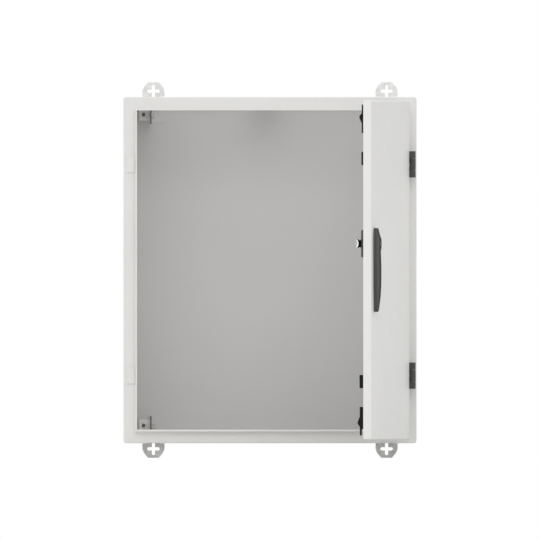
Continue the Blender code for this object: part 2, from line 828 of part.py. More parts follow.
def hinge_leaf_screws():
    """Four screws through the door's hinge edge into the ears of the leaves."""
    length = SHEET + WEB_T
    profile = screw_profile(HINGE_SCREW_R, length, HINGE_SCREW_HEAD_R, HINGE_SCREW_HEAD_T)
    made = []
    for end, place in ENDS:
        for number, sign in enumerate((1, -1), 1):
            seat = ear_screw_place(end * HINGE_Z, sign) + Vector((GAP, 0.0, 0.0))
            made.append(screw(f"hinge_leaf_screw_{place}_{number}", profile, seat, (1.0, 0.0, 0.0)))
    return made


# ---- Door ----
def on_door(u, v, z):
    """A place on the shut door, in the part's frame."""
    return Vector((FREE_X + u, FACE_Y + v, z))


def door_block(name, corner, opposite, colour=None):
    return block(name, on_door(*corner), on_door(*opposite), colour)


def door_cylinder(name, radius, u, z, start_v, end_v, colour=None, sides=20):
    """A cylinder square to the door's face."""
    return cylinder(name, radius, on_door(u, start_v, z), on_door(u, end_v, z), colour, sides)


def door_panel():
    """The folded door, with notches for the hinges and holes for the lock."""
    bm = bmesh.new()
    bmesh.ops.create_cube(bm, size=1.0)
    bmesh.ops.scale(bm, vec=(DOOR_W, DOOR_EDGE, DOOR_H), verts=bm.verts)
    rear = [f for f in bm.faces if f.normal.y > 0.5]
    bmesh.ops.delete(bm, geom=rear, context="FACES_ONLY")
    bends = [e for e in bm.edges if len(e.link_faces) == 2]
    bmesh.ops.bevel(bm, geom=bends, offset=DOOR_BEND_R, segments=3, profile=0.5, affect="EDGES")
    door = open_shell("door_panel", bm, light_grey_paint, Vector((0.0, -1.0, 0.0)))
    door.location.y = FACE_Y + DOOR_EDGE / 2
    sheet_metal(door)
    for end in (1, -1):
        z = end * HINGE_Z
        half = HINGE_H / 2 + GAP
        cut(
            door,
            block(
                "hinge_notch",
                (HINGE_X - WEB_T - GAP, FACE_Y - BIG, z - half),
                (HINGE_X + BIG, FACE_Y + DOOR_EDGE + BIG, z + half),
            ),
        )
        for sign in (-1, 1):
            cut(door, ear_screw_cutter(z, sign, HINGE_SCREW_R + GAP))
        for u in (0.0, DOOR_W):
            corner = on_door(u, 0.0, end * DOOR_H / 2)
            along = Vector((0.0, 0.0, 2 * RELIEF_R))
            cut(door, cylinder("corner_relief", RELIEF_R, corner - along, corner + along, sides=12))
    cut(door, door_cylinder("spindle_hole", SPINDLE_HOLE_R, AXIS_U, AXIS_Z, -BIG, BIG))
    for z in lock_screw_heights():
        cut(door, door_cylinder("screw_hole", LOCK_SCREW_R + 2 * GAP, AXIS_U, z, -BIG, BIG, sides=12))
    smooth(door)
    return door


def door_gasket():
    """The foamed seal that the rain lip presses into, in its pressed state."""
    middle_x = LIP_X - HEM_W / 2
    middle_z = LIP_Z - HEM_W / 2
    outer = (middle_x + GASKET_W / 2, middle_z + GASKET_W / 2)
    inner = (middle_x - GASKET_W / 2, middle_z - GASKET_W / 2)
    outlines = [[(-x, -z), (x, -z), (x, z), (-x, z)] for x, z in (outer, inner)]
    gasket = polygon("door_gasket", outlines, GASKET_T, foam)
    gasket.location.y = FACE_Y + INNER_V + GASKET_T / 2
    return gasket


# ---- Lever handle ----
def lock_screw_heights():
    return [AXIS_Z + sign * LOCK_SCREW_SPREAD / 2 for sign in (1, -1)]


def tapered_bar(name, back_v, heights, colour, inset=0.0):
    """A bar along the door whose width, and height where none is given, follow the lever."""
    low, high = LEVER_STATIONS[-1][0], LEVER_STATIONS[0][0]
    bm = bmesh.new()
    bmesh.ops.create_cube(bm, size=1.0)
    bmesh.ops.scale(bm, vec=(1.0, 1.0, high - low), verts=bm.verts)
    bmesh.ops.translate(bm, vec=(0.0, 0.0, (high + low) / 2), verts=bm.verts)
    for z, _, _ in LEVER_STATIONS[1:-1]:
        geometry = bm.verts[:] + bm.edges[:] + bm.faces[:]
        bmesh.ops.bisect_plane(bm, geom=geometry, plane_co=(0, 0, z), plane_no=(0, 0, 1))
    for vert in bm.verts:
        station = min(LEVER_STATIONS, key=lambda row: abs(row[0] - vert.co.z))
        vert.co.x = math.copysign(station[2] - inset, vert.co.x)
        front = -(heights or station[1])
        vert.co.y = front if vert.co.y < 0 else back_v
    bar = mesh_object(name, bm, colour)
    bar.location = on_door(AXIS_U, 0.0, 0.0)
    return bevel(bar, LEVER_ROUNDING)


def handle_base():
    """The escutcheon between the door and the lever; two screws from inside hold it."""
    base = tapered_bar("handle_base", -GAP, BASE_T + GAP, black_plastic, BASE_INSET)
    cut(base, door_cylinder("hub_hole", HUB_R + GAP, AXIS_U, AXIS_Z, -BIG, BIG))
    for z in lock_screw_heights():
        hole = door_cylinder("screw_hole", LOCK_SCREW_R + GAP, AXIS_U, z, -LOCK_SCREW_BITE, BIG, sides=12)
        cut(base, hole)
    return base


def barrel_front_v():
    """Depth of the lock barrel's face, a little below the lever's boss."""
    boss = max(height for _, height, _ in LEVER_STATIONS)
    return -boss + BARREL_SUNK


def handle_lever():
    lever = tapered_bar("handle_lever", LEVER_BACK_V, None, black_plastic)
    join(lever, door_cylinder("lever_hub", HUB_R, AXIS_U, AXIS_Z, LEVER_BACK_V - GAP, -2 * GAP))
    half = SOCKET_HALF
    socket = door_block(
        "spindle_socket",
        (AXIS_U - half, SPINDLE_START_V - GAP, AXIS_Z - half),
        (AXIS_U + half, BIG, AXIS_Z + half),
    )
    pocket_v = barrel_front_v() + BARREL_T + GAP
    pocket = door_cylinder("barrel_pocket", BARREL_R + GAP, AXIS_U, AXIS_Z, -2 * BIG, pocket_v)
    return cut(lever, socket, pocket)


def lock_barrel():
    """The key barrel in the lever's boss, with a plain keyway."""
    front = barrel_front_v()
    barrel = door_cylinder("lock_barrel", BARREL_R, AXIS_U, AXIS_Z, front, front + BARREL_T, zinc, 24)
    keyway = door_block(
        "keyway",
        (AXIS_U - KEYWAY_W / 2, front - BIG, AXIS_Z - KEYWAY_L / 2),
        (AXIS_U + KEYWAY_W / 2, front + BARREL_T / 2, AXIS_Z + KEYWAY_L / 2),
    )
    return cut(barrel, keyway)


def spindle():
    """The square bar that turns pinion and tongue with the lever."""
    half = SPINDLE_W / 2
    bar = door_block(
        "spindle",
        (AXIS_U - half, SPINDLE_START_V, AXIS_Z - half),
        (AXIS_U + half, TONGUE_BACK_V - GAP, AXIS_Z + half),
        zinc,
    )
    return cut(
        bar,
        door_cylinder("thread", TONGUE_SCREW_R + GAP, AXIS_U, AXIS_Z, SPACER_V - BIG, 4 * BIG, sides=12),
    )


# ---- Lock ----
def case_plate(name, near_v, far_v, colour):
    """A plate of the lock case, around the lock's axis."""
    return door_block(
        name,
        (AXIS_U - CASE_W / 2, near_v, AXIS_Z - CASE_H / 2),
        (AXIS_U + CASE_W / 2, far_v, AXIS_Z + CASE_H / 2),
        colour,
    )


def lock_plate():
    """The lock's mounting plate, with pillars to the door and to the cover."""
    plate = case_plate("lock_plate", CASE_V, ROD_SPACE_V, zinc)
    for z in lock_screw_heights():
        join(plate, door_cylinder("pillar", PILLAR_R, AXIS_U, z, INNER_V, COVER_V - GAP))
        cut(plate, door_cylinder("screw_hole", LOCK_SCREW_R + GAP, AXIS_U, z, -BIG, 3 * BIG, sides=12))
    return cut(plate, door_cylinder("spindle_hole", SPINDLE_HOLE_R, AXIS_U, AXIS_Z, 0.0, 3 * BIG))


def lock_cover():
    cover = case_plate("lock_cover", COVER_V, COVER_TOP_V, black_plastic)
    bevel(cover, COVER_T / 3, 1)
    for z in lock_screw_heights():
        sink_v = COVER_TOP_V - LOCK_SCREW_HEAD_T - GAP
        cut(
            cover,
            door_cylinder("screw_hole", LOCK_SCREW_R + GAP, AXIS_U, z, 0.0, 4 * BIG, sides=12),
            door_cylinder("screw_sink", LOCK_SCREW_HEAD_R + GAP, AXIS_U, z, sink_v, 4 * BIG),
        )
    return cut(cover, door_cylinder("spindle_hole", SPINDLE_HOLE_R, AXIS_U, AXIS_Z, 0.0, 4 * BIG))


def lock_screws():
    """Two long screws from the lock's cover through the door into the handle's base."""
    seat_v = COVER_TOP_V - LOCK_SCREW_HEAD_T
    length = seat_v + LOCK_SCREW_BITE - GAP
    profile = screw_profile(LOCK_SCREW_R, length, LOCK_SCREW_HEAD_R, LOCK_SCREW_HEAD_T - GAP)
    return [
        screw(f"lock_screw_{number}", profile, on_door(AXIS_U, seat_v, z), (0.0, 1.0, 0.0))
        for number, z in enumerate(lock_screw_heights(), 1)
    ]


def square_outline(half):
    return [(-half, -half), (half, -half), (half, half), (-half, half)]


def involute(base_r, radius):
    """Polar angle of an involute's point at this radius."""
    pressure = math.acos(min(1.0, base_r / radius))
    return math.tan(pressure) - pressure


def pinion_outline():
    """Twelve involute teeth, with one tooth pointing along +X."""
    base_r = PINION_R * math.cos(PRESSURE_ANGLE)
    root_r = PINION_R - PINION_DEDENDUM
    tip_r = PINION_R + PINION_ADDENDUM
    half_angle = (TOOTH_PITCH - BACKLASH) / 4 / PINION_R + involute(base_r, PINION_R)
    flank_r = [root_r, base_r, PINION_R, (PINION_R + tip_r) / 2, tip_r]
    rising = [(r, half_angle - involute(base_r, max(r, base_r))) for r in flank_r]
    outline = []
    for tooth in range(PINION_TEETH):
        middle = 2 * math.pi * tooth / PINION_TEETH
        flanks = [(r, middle - a) for r, a in rising] + [(r, middle + a) for r, a in reversed(rising)]
        outline += [(r * math.cos(a), r * math.sin(a)) for r, a in flanks]
    return outline


def pinion():
    thickness = ROD_SPACE - 2 * GAP
    gear = polygon("pinion", [pinion_outline(), square_outline(SOCKET_HALF)], thickness, zinc)
    gear.location = on_door(AXIS_U, ROD_SPACE_V + ROD_SPACE / 2, AXIS_Z)
    return gear


def tongue_spacer():
    end_v = SPACER_V + SPACER_T
    spacer = door_cylinder("tongue_spacer", SPACER_R, AXIS_U, AXIS_Z, SPACER_V, end_v, black_plastic)
    half = SOCKET_HALF
    return cut(
        spacer,
        door_block(
            "square_hole",
            (AXIS_U - half, 0.0, AXIS_Z - half),
            (AXIS_U + half, 4 * BIG, AXIS_Z + half),
        ),
    )


def latch_tongue():
    """The trough-shaped tongue: its tip goes behind the cabinet's flange."""
    inner_r = TONGUE_R - TONGUE_T
    centre_v = TONGUE_V + TONGUE_R
    steps = 8
    turns = [-TONGUE_ARC + 2 * TONGUE_ARC * k / steps for k in range(steps + 1)]
    arc = [(r, a) for r, side in ((TONGUE_R, turns), (inner_r, turns[::-1])) for a in side]
    section = [(r * math.sin(a), -r * math.cos(a)) for r, a in arc]
    start = TONGUE_REACH
    stop = TONGUE_START
    bm = bmesh.new()
    ring = [bm.verts.new((-start, depth, height)) for height, depth in section]
    face = bm.faces.new(ring)
    made = bmesh.ops.extrude_face_region(bm, geom=[face])["geom"]
    fresh = [item for item in made if isinstance(item, bmesh.types.BMVert)]
    bmesh.ops.translate(bm, vec=(start - stop, 0.0, 0.0), verts=fresh)
    tongue = mesh_object("latch_tongue", bm, zinc)
    tongue.location = on_door(AXIS_U, centre_v, AXIS_Z)
    disc = door_cylinder("tongue_disc", TONGUE_DISC_R, AXIS_U, AXIS_Z, TONGUE_V + GAP / 3, TONGUE_BACK_V)
    half = SOCKET_HALF
    hole = door_block(
        "square_hole", (AXIS_U - half, 0.0, AXIS_Z - half), (AXIS_U + half, 5 * BIG, AXIS_Z + half)
    )
    neck = door_block(
        "tongue_neck",
        (AXIS_U - stop - TONGUE_T, TONGUE_V + GAP, AXIS_Z - TONGUE_DISC_R + TONGUE_T),
        (AXIS_U, TONGUE_BACK_V - GAP, AXIS_Z + TONGUE_DISC_R - TONGUE_T),
    )
    join(tongue, disc, neck)
    return cut(tongue, hole)


def tongue_screw():
    """The screw that clamps the tongue to the spindle's end."""
    profile = screw_profile(TONGUE_SCREW_R, BIG, TONGUE_SCREW_HEAD_R, TONGUE_SCREW_HEAD_T)
    return screw("tongue_screw", profile, on_door(AXIS_U, TONGUE_BACK_V + GAP, AXIS_Z), (0.0, 1.0, 0.0))


# ---- Locking rods ----
def rod_outline(reach):
    """An upper rod from the lock's axis: rack on the free-edge side, a jog, then straight up."""
    near = -ROD_OFFSET - ROD_W / 2
    pitch_line = -PINION_R
    root = pitch_line - RACK_DEDENDUM
    tip = pitch_line + RACK_ADDENDUM
    lean = math.tan(PRESSURE_ANGLE)
    half = (TOOTH_PITCH - BACKLASH) / 4
    tip_half = half - RACK_ADDENDUM * lean
    root_half = half + RACK_DEDENDUM * lean
    first = -1.5 * TOOTH_PITCH
    centres = [first + k * TOOTH_PITCH for k in range(RACK_TEETH)]
    rack_end = centres[-1] + TOOTH_PITCH / 2
    bottom = centres[0] - TOOTH_PITCH / 2
    right = [(root, bottom)]
    for centre in centres:
        right += [(root, centre - root_half), (tip, centre - tip_half)]
        right += [(tip, centre + tip_half), (root, centre + root_half)]
    jog = 2 * ROD_OFFSET
    right += [(root, rack_end), (pitch_line, rack_end), (pitch_line, JOG_START)]
    right += [(pitch_line + jog, JOG_START + JOG_LENGTH), (pitch_line + jog, reach)]
    left = [(near + jog, reach), (near + jog, JOG_START + JOG_LENGTH), (near, JOG_START), (near, bottom)]
    return right + left


def locking_rod(name, end):
    """A flat rod from its rack at the pinion to its shoe; the lower one is the upper, turned over."""
    reach = ROD_TOP - end * AXIS_Z
    rivet_z = SHOE_END + SHOE_W / 2 - end * AXIS_Z
    outline = rod_outline(reach)
    hole = circle((ROD_OFFSET, rivet_z), RIVET_R + GAP, 12)
    outlines = [[(end * x, end * z) for x, z in line] for line in (outline, hole)]
    rod = polygon(name, outlines, ROD_T, zinc)
    rod.location = on_door(AXIS_U, ROD_V + ROD_T / 2, AXIS_Z)
    return rod


def rod_u(end):
    """The rod's centre line beyond its jog."""
    return AXIS_U + end * ROD_OFFSET


def rod_shoe(name, end):
    """The plastic end of a rod: a grip around the rod, a ramp, and a hook that goes behind the flange."""
    u = rod_u(end)
    low_v = HOOK_V + HOOK_T - SHOE_T
    top_v = HOOK_V + HOOK_T
    half = SHOE_W / 2
    shoe = door_block(
        name, (u - half, low_v, end * SHOE_END), (u + half, top_v, end * SHOE_SHOULDER), black_plastic
    )
    hook = door_block(
        "shoe_hook",
        (u - half + GAP, HOOK_V, end * (SHOE_SHOULDER - HOOK_T)),
        (u + half - GAP, top_v - GAP / 3, end * HOOK_END),
    )
    join(shoe, hook, shoe_ramp(u, top_v, end))
    slot = ROD_W / 2 + GAP
    tunnel = door_block(
        "rod_tunnel",
        (u - slot, ROD_V - GAP, end * (SHOE_END - BIG)),
        (u + slot, ROD_V + ROD_T + GAP, end * (ROD_TOP + GAP)),
    )
    rivet_z = end * (SHOE_END + SHOE_W / 2)
    rivet_hole = door_cylinder("rivet_hole", RIVET_R + GAP, u, rivet_z, 0.0, 4 * BIG, sides=12)
    return cut(shoe, tunnel, rivet_hole)


def shoe_ramp(u, top_v, end):
    """A wedge across the shoe that draws the door in."""
    rise = top_v + RAMP_H
    rows = (
        (RAMP_START, top_v - GAP),
        ((RAMP_START + RAMP_END) / 2 + RAMP_H / 3, rise),
        ((RAMP_START + RAMP_END) / 2 + RAMP_H, rise),
        (RAMP_END, top_v - GAP),
    )
    bm = bmesh.new()
    face = bm.faces.new([bm.verts.new((-(SHOE_W / 2 - GAP), v, end * z)) for z, v in rows])
    made = bmesh.ops.extrude_face_region(bm, geom=[face])["geom"]
    fresh = [item for item in made if isinstance(item, bmesh.types.BMVert)]
    bmesh.ops.translate(bm, vec=(SHOE_W - 2 * GAP, 0.0, 0.0), verts=fresh)
    ramp = mesh_object("shoe_ramp", bm)
    ramp.location = on_door(u, 0.0, 0.0)
    return ramp


def shoe_rivet(name, end):
    rivet_z = end * (SHOE_END + SHOE_W / 2)
    top_v = HOOK_V + HOOK_T
    return door_cylinder(
        name, RIVET_R, rod_u(end), rivet_z, top_v - SHOE_T, top_v - GAP, zinc, sides=12
    )


def rod_guide(place, end):
    """A plastic loop that holds the rod against the door, on a foot beside the seal."""
    u = rod_u(end)
    z = end * GUIDE_Z
    half = ROD_W / 2 + GAP + GUIDE_WALL
    head_v = ROD_V - GAP - GUIDE_WALL
    guide = door_block(
        f"rod_guide_{place}",
        (u - half, head_v, z - GUIDE_H / 2),
        (u + half, head_v + GUIDE_HEAD_T, z + GUIDE_H / 2),
        black_plastic,
    )
    bevel(guide, GUIDE_WALL / 2, 1)
    seal_u = BODY_W / 2 - DOOR_MARGIN - (LIP_X - HEM_W / 2 - GASKET_W / 2) + 2 * GAP
    foot = door_block(
        "guide_foot",
        (max(u - half, seal_u) + GAP, INNER_V, z - GUIDE_H / 2 + GUIDE_WALL),
        (u + half - GUIDE_WALL, head_v + GUIDE_WALL / 2, z + GUIDE_H / 2 - GUIDE_WALL),
    )
    slot = ROD_W / 2 + GAP
    tunnel = door_block(
        "rod_tunnel",
        (u - slot, ROD_V - GAP, z - GUIDE_H),
        (u + slot, ROD_V + ROD_T + GAP, z + GUIDE_H),
    )
    join(guide, foot)
    return cut(guide, tunnel)


# ---- Assembly ----
def clear_scene():
    for obj in list(bpy.data.objects):
        bpy.data.objects.remove(obj)
    for collection in (BOX, CUTTERS):
        bpy.context.scene.collection.children.link(collection)
    CUTTERS.hide_render = True


def build_cabinet():
    cabinet_shell()
    back_panel()
    wall_lugs()
    lug_screws()
    frame_brackets()
    bracket_screws()
    hinge_covers()
    for end, place in ENDS:
        hinge_mount(place, end)
        hinge_pin(place, end)
        hinge_clamp(place, end)
        hinge_mount_screw(place, end)


def build_door(door_pivot):
    pieces = [door_panel(), door_gasket(), handle_base(), lock_plate(), lock_cover()]
    pieces += hinge_leaf_screws() + lock_screws()
    for end, place in ENDS:
        pieces += [hinge_leaf(place, end), rod_guide(place, end)]
    for piece in pieces:
        ride(piece, door_pivot)


def build_handle(door_pivot):
    handle_pivot = pivot("handle_pivot", on_door(AXIS_U, 0.0, AXIS_Z), door_pivot)
    for piece in (handle_lever(), spindle(), pinion(), tongue_spacer(), latch_tongue(), tongue_screw()):
        ride(piece, handle_pivot)
    barrel_pivot = pivot("barrel_pivot", on_door(AXIS_U, barrel_front_v(), AXIS_Z), handle_pivot)
    ride(lock_barrel(), barrel_pivot)


def build_rods(door_pivot):
    for end, place in ENDS:
        slide = pivot(f"{place}_rod_slide", on_door(rod_u(end), ROD_V, end * GUIDE_Z), door_pivot)
        for piece in (
            locking_rod(f"{place}_rod", end),
            rod_shoe(f"{place}_rod_shoe", end),
            shoe_rivet(f"{place}_shoe_rivet", end),
        ):
            ride(piece, slide)


def main():
    clear_scene()
    build_cabinet()
    door_pivot = pivot("door_pivot", (HINGE_X, HINGE_Y, 0.0))
    build_door(door_pivot)
    build_handle(door_pivot)
    build_rods(door_pivot)
    door_pivot.rotation_euler.z = DOOR_ANGLE


main()
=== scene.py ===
import json
import math

import bpy
from mathutils import Matrix, Vector


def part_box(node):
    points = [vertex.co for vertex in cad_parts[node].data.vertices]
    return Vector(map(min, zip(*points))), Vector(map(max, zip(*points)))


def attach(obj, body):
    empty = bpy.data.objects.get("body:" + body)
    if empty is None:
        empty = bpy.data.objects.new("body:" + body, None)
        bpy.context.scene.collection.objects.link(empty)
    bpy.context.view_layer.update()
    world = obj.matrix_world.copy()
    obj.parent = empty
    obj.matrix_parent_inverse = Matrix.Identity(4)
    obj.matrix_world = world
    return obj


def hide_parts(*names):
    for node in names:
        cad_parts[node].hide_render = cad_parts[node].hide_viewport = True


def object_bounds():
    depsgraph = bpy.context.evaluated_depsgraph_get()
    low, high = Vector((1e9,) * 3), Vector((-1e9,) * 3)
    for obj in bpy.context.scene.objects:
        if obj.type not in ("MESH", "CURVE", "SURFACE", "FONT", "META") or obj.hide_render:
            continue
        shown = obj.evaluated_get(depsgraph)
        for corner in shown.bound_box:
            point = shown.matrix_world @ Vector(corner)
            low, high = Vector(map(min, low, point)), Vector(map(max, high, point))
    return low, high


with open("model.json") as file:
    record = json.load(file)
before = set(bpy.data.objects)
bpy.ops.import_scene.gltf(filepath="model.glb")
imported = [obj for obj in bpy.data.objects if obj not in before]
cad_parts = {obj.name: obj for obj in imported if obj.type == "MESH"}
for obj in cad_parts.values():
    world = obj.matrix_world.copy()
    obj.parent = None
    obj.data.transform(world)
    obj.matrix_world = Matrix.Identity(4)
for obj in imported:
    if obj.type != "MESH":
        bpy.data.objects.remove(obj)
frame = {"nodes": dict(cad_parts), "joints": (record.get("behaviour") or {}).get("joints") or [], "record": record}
cad_low, cad_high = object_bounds()

# ---- Studio ----
# A pale floor below the lower lugs, and an evenly lit room that is brighter overhead, with two
# weak soft lamps. The camera looks square on and shows no perspective, as the photograph does.
PIXELS = 540
METRES_PER_PIXEL = 0.001877
CAMERA_DISTANCE = 4.0
FLOOR_SIZE = 12.0
FLOOR_DROP = 0.002
FLOOR_COLOUR = (0.8, 0.8, 0.79)
ROOM_LOW = 0.56
ROOM_HIGH = 1.28
ROOM_SIDE = -0.25  # the room is dimmer to the right
LAMPS = {  # name: place, size, watts, target
    "key_lamp": ((0.4, -3.0, 1.6), 1.6, 14.0, (0.0, -0.1, 0.0)),
    "top_lamp": ((0.0, -0.5, 2.6), 1.0, 5.0, (0.0, -0.1, 0.3)),
}

bpy.context.scene.view_settings.view_transform = "Standard"
bpy.ops.object.camera_add(location=(0.0, -CAMERA_DISTANCE, 0.0), rotation=(math.pi / 2, 0.0, 0.0))
camera = bpy.context.object
camera.data.type = "ORTHO"
camera.data.ortho_scale = PIXELS * METRES_PER_PIXEL
bpy.context.scene.camera = camera

for name, (place, size, watts, target) in LAMPS.items():
    bpy.ops.object.light_add(type="AREA", location=place)
    lamp = bpy.context.object
    lamp.name = name
    lamp.data.size = size
    lamp.data.energy = watts
    lamp.rotation_euler = (Vector(target) - Vector(place)).to_track_quat("-Z", "Y").to_euler()

world = bpy.data.worlds.new("studio")
bpy.context.scene.world = world
world.use_nodes = True
air = world.node_tree
direction = air.nodes.new("ShaderNodeTexCoord")
height = air.nodes.new("ShaderNodeSeparateXYZ")
room = air.nodes.new("ShaderNodeMapRange")
room.interpolation_type = "SMOOTHSTEP"
room.inputs["From Min"].default_value = 0.0
room.inputs["From Max"].default_value = 1.0
room.inputs["To Min"].default_value = ROOM_LOW
room.inputs["To Max"].default_value = ROOM_HIGH
air.links.new(direction.outputs["Generated"], height.inputs[0])
air.links.new(height.outputs["Z"], room.inputs["Value"])
side = air.nodes.new("ShaderNodeMath")
side.operation = "MULTIPLY_ADD"
side.inputs[1].default_value = ROOM_SIDE
side.inputs[2].default_value = 1.0
sided = air.nodes.new("ShaderNodeMath")
sided.operation = "MULTIPLY"
air.links.new(height.outputs["X"], side.inputs[0])
air.links.new(side.outputs[0], sided.inputs[0])
air.links.new(room.outputs[0], sided.inputs[1])
rays = air.nodes.new("ShaderNodeLightPath")
seen = air.nodes.new("ShaderNodeMath")
seen.operation = "MAXIMUM"
strength = air.nodes.new("ShaderNodeMapRange")
strength.inputs["To Max"].default_value = 1.0
air.links.new(rays.outputs["Is Camera Ray"], seen.inputs[0])
air.links.new(rays.outputs["Is Glossy Ray"], seen.inputs[1])
air.links.new(seen.outputs[0], strength.inputs["Value"])
air.links.new(sided.outputs[0], strength.inputs["To Min"])
air.links.new(strength.outputs[0], air.nodes["Background"].inputs["Strength"])
air.nodes["Background"].inputs["Color"].default_value = (1.0, 1.0, 1.0, 1.0)

bpy.ops.mesh.primitive_plane_add(size=FLOOR_SIZE, location=(0.0, 0.0, cad_low[2] - FLOOR_DROP))
floor = bpy.context.object
floor.name = "floor"
floor_paint = bpy.data.materials.new("floor_paint")
floor_paint.use_nodes = True
floor_shader = floor_paint.node_tree.nodes["Principled BSDF"]
floor_shader.inputs["Base Color"].default_value = (*FLOOR_COLOUR, 1.0)
floor_shader.inputs["Roughness"].default_value = 0.9
floor.data.materials.append(floor_paint)

# ---- Cabinet shell ----
# One wrap of 1.5 mm steel with a folded front flange and a rain lip, welded at its corners,
# ground, and powder coated light grey. The coat has a fine orange-peel texture and fills the
# edges to a small radius.
PAINT_COLOUR = (0.76, 0.755, 0.742)
PAINT_EDGE = 0.0004
WELD = 0.000002
FLAT_ANGLE = 0.5  # degrees between faces, under which they are merged
BEVEL_ANGLE = 50.0  # and over which their edge is rounded
SMOOTH_ANGLE = 40.0  # and under which it is shaded smooth


def new_group(name, *numbers):
    """A finish as a node group, and its input node: a colour and some numbers go in."""
    group = bpy.data.node_groups.new(name, "ShaderNodeTree")
    group.interface.new_socket("Colour", in_out="INPUT", socket_type="NodeSocketColor")
    for socket in numbers:
        group.interface.new_socket(socket, in_out="INPUT", socket_type="NodeSocketFloat")
    group.interface.new_socket("Colour", in_out="OUTPUT", socket_type="NodeSocketColor")
    group.interface.new_socket("Roughness", in_out="OUTPUT", socket_type="NodeSocketFloat")
    group.interface.new_socket("Normal", in_out="OUTPUT", socket_type="NodeSocketVector")
    return group, group.nodes.new("NodeGroupInput")


def noise_on_object(group, scale, detail, roughness=0.5):
    """A noise texture on Object coordinates, whose scale may be a socket."""
    where = group.nodes.new("ShaderNodeTexCoord")
    noise = group.nodes.new("ShaderNodeTexNoise")
    noise.inputs["Detail"].default_value = detail
    noise.inputs["Roughness"].default_value = roughness
    group.links.new(where.outputs["Object"], noise.inputs["Vector"])
    if isinstance(scale, float):
        noise.inputs["Scale"].default_value = scale
    else:
        group.links.new(scale, noise.inputs["Scale"])
    return noise.outputs["Fac"]


def spread(group, source, low, high, source_low, source_high):
    """A value between the source's limits spread between two others, which may be sockets."""
    ramp = group.nodes.new("ShaderNodeMapRange")
    ramp.inputs["From Min"].default_value = source_low
    ramp.inputs["From Max"].default_value = source_high
    group.links.new(source, ramp.inputs["Value"])
    for name, limit in (("To Min", low), ("To Max", high)):
        if isinstance(limit, float):
            ramp.inputs[name].default_value = limit
        else:
            group.links.new(limit, ramp.inputs[name])
    return ramp.outputs["Result"]


def tinted(group, colour, factor):
    """A colour made darker or lighter by a factor near 1."""
    mix = group.nodes.new("ShaderNodeVectorMath")
    mix.operation = "SCALE"
    group.links.new(colour, mix.inputs[0])
    group.links.new(factor, mix.inputs["Scale"])
    return mix.outputs["Vector"]


def bump(group, height, strength, distance):
    """A relief of the given distance, whose strength may be a socket."""
    made = group.nodes.new("ShaderNodeBump")
    made.inputs["Distance"].default_value = distance
    group.links.new(height, made.inputs["Height"])
    if isinstance(strength, float):
        made.inputs["Strength"].default_value = strength
    else:
        group.links.new(strength, made.inputs["Strength"])
    return made.outputs["Normal"]


def scaled(group, value, factor):
    """A socket's value times a number."""
    made = group.nodes.new("ShaderNodeMath")
    made.operation = "MULTIPLY"
    group.links.new(value, made.inputs[0])
    made.inputs[1].default_value = factor
    return made.outputs[0]


def wire_finish(group, inputs, tone, tints, wear, wears, relief, source=(0.3, 0.7)):
    """Spreads the tone over the colour and the wear over the roughness, and adds the relief."""
    outputs = group.nodes.new("NodeGroupOutput").inputs
    tint = spread(group, tone, *tints, *source)
    smooth, rough = (scaled(group, inputs.outputs["Roughness"], factor) for factor in wears)
    group.links.new(tinted(group, inputs.outputs["Colour"], tint), outputs["Colour"])
    group.links.new(spread(group, wear, smooth, rough, *source), outputs["Roughness"])
    group.links.new(relief, outputs["Normal"])


coat, coat_in = new_group("powder_coat", "Roughness", "Grain", "Relief")
clouds = noise_on_object(coat, 5.0, 3.0)
peel = noise_on_object(coat, coat_in.outputs["Grain"], 2.0)
rub = noise_on_object(coat, 38.0, 4.0, 0.6)
orange_peel = bump(coat, peel, coat_in.outputs["Relief"], 0.00025)
wire_finish(coat, coat_in, clouds, (0.985, 1.012), rub, (0.88, 1.12), orange_peel)


def grouped_material(name, group, colour, metallic, gloss, **values):
    """A Principled material whose colour, roughness and normal come from a finish."""
    material = bpy.data.materials.new(name)
    material.use_nodes = True
    tree = material.node_tree
    shader = tree.nodes["Principled BSDF"]
    shader.inputs["Metallic"].default_value = metallic
    shader.inputs["Specular IOR Level"].default_value = gloss
    node = tree.nodes.new("ShaderNodeGroup")
    node.node_tree = group
    node.inputs["Colour"].default_value = (*colour, 1.0)
    for socket, value in values.items():
        node.inputs[socket].default_value = value
    tree.links.new(node.outputs["Colour"], shader.inputs["Base Color"])
    tree.links.new(node.outputs["Roughness"], shader.inputs["Roughness"])
    tree.links.new(node.outputs["Normal"], shader.inputs["Normal"])
    return material


grey_paint = grouped_material(
    "grey_paint", coat, PAINT_COLOUR, metallic=0.0, gloss=0.35, Roughness=0.42, Grain=700.0, Relief=0.22
)


def body_of_node(node):
    """The body that a CAD node belongs to."""
    bodies = frame["record"]["behaviour"]["bodies"]
    return next(body for body, members in bodies.items() if node in members)


def stand_for(piece, node):
    """The piece takes the node's body, and replaces it."""
    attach(piece, body_of_node(node))
    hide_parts(node)


def only(piece):
    """Selects this piece and nothing else."""
    bpy.ops.object.select_all(action="DESELECT")
    bpy.context.view_layer.objects.active = piece
    piece.select_set(True)


def apply_modifier(piece, kind, **settings):
    """Adds a modifier with these settings and applies it."""
    only(piece)
    modifier = piece.modifiers.new(kind.lower(), kind)
    for setting, value in settings.items():
        setattr(modifier, setting, value)
    bpy.ops.object.modifier_apply(modifier=modifier.name)


def ease_edges(piece, width):
    """Rounds the sharp edges and shades what is left smooth."""
    apply_modifier(
        piece,
        "BEVEL",
        width=width,
        segments=2,
        limit_method="ANGLE",
        angle_limit=math.radians(BEVEL_ANGLE),
        use_clamp_overlap=True,
    )
    only(piece)
    bpy.ops.object.shade_smooth_by_angle(angle=math.radians(SMOOTH_ANGLE))
    apply_modifier(piece, "WEIGHTED_NORMAL", mode="FACE_AREA", weight=50, keep_sharp=True)


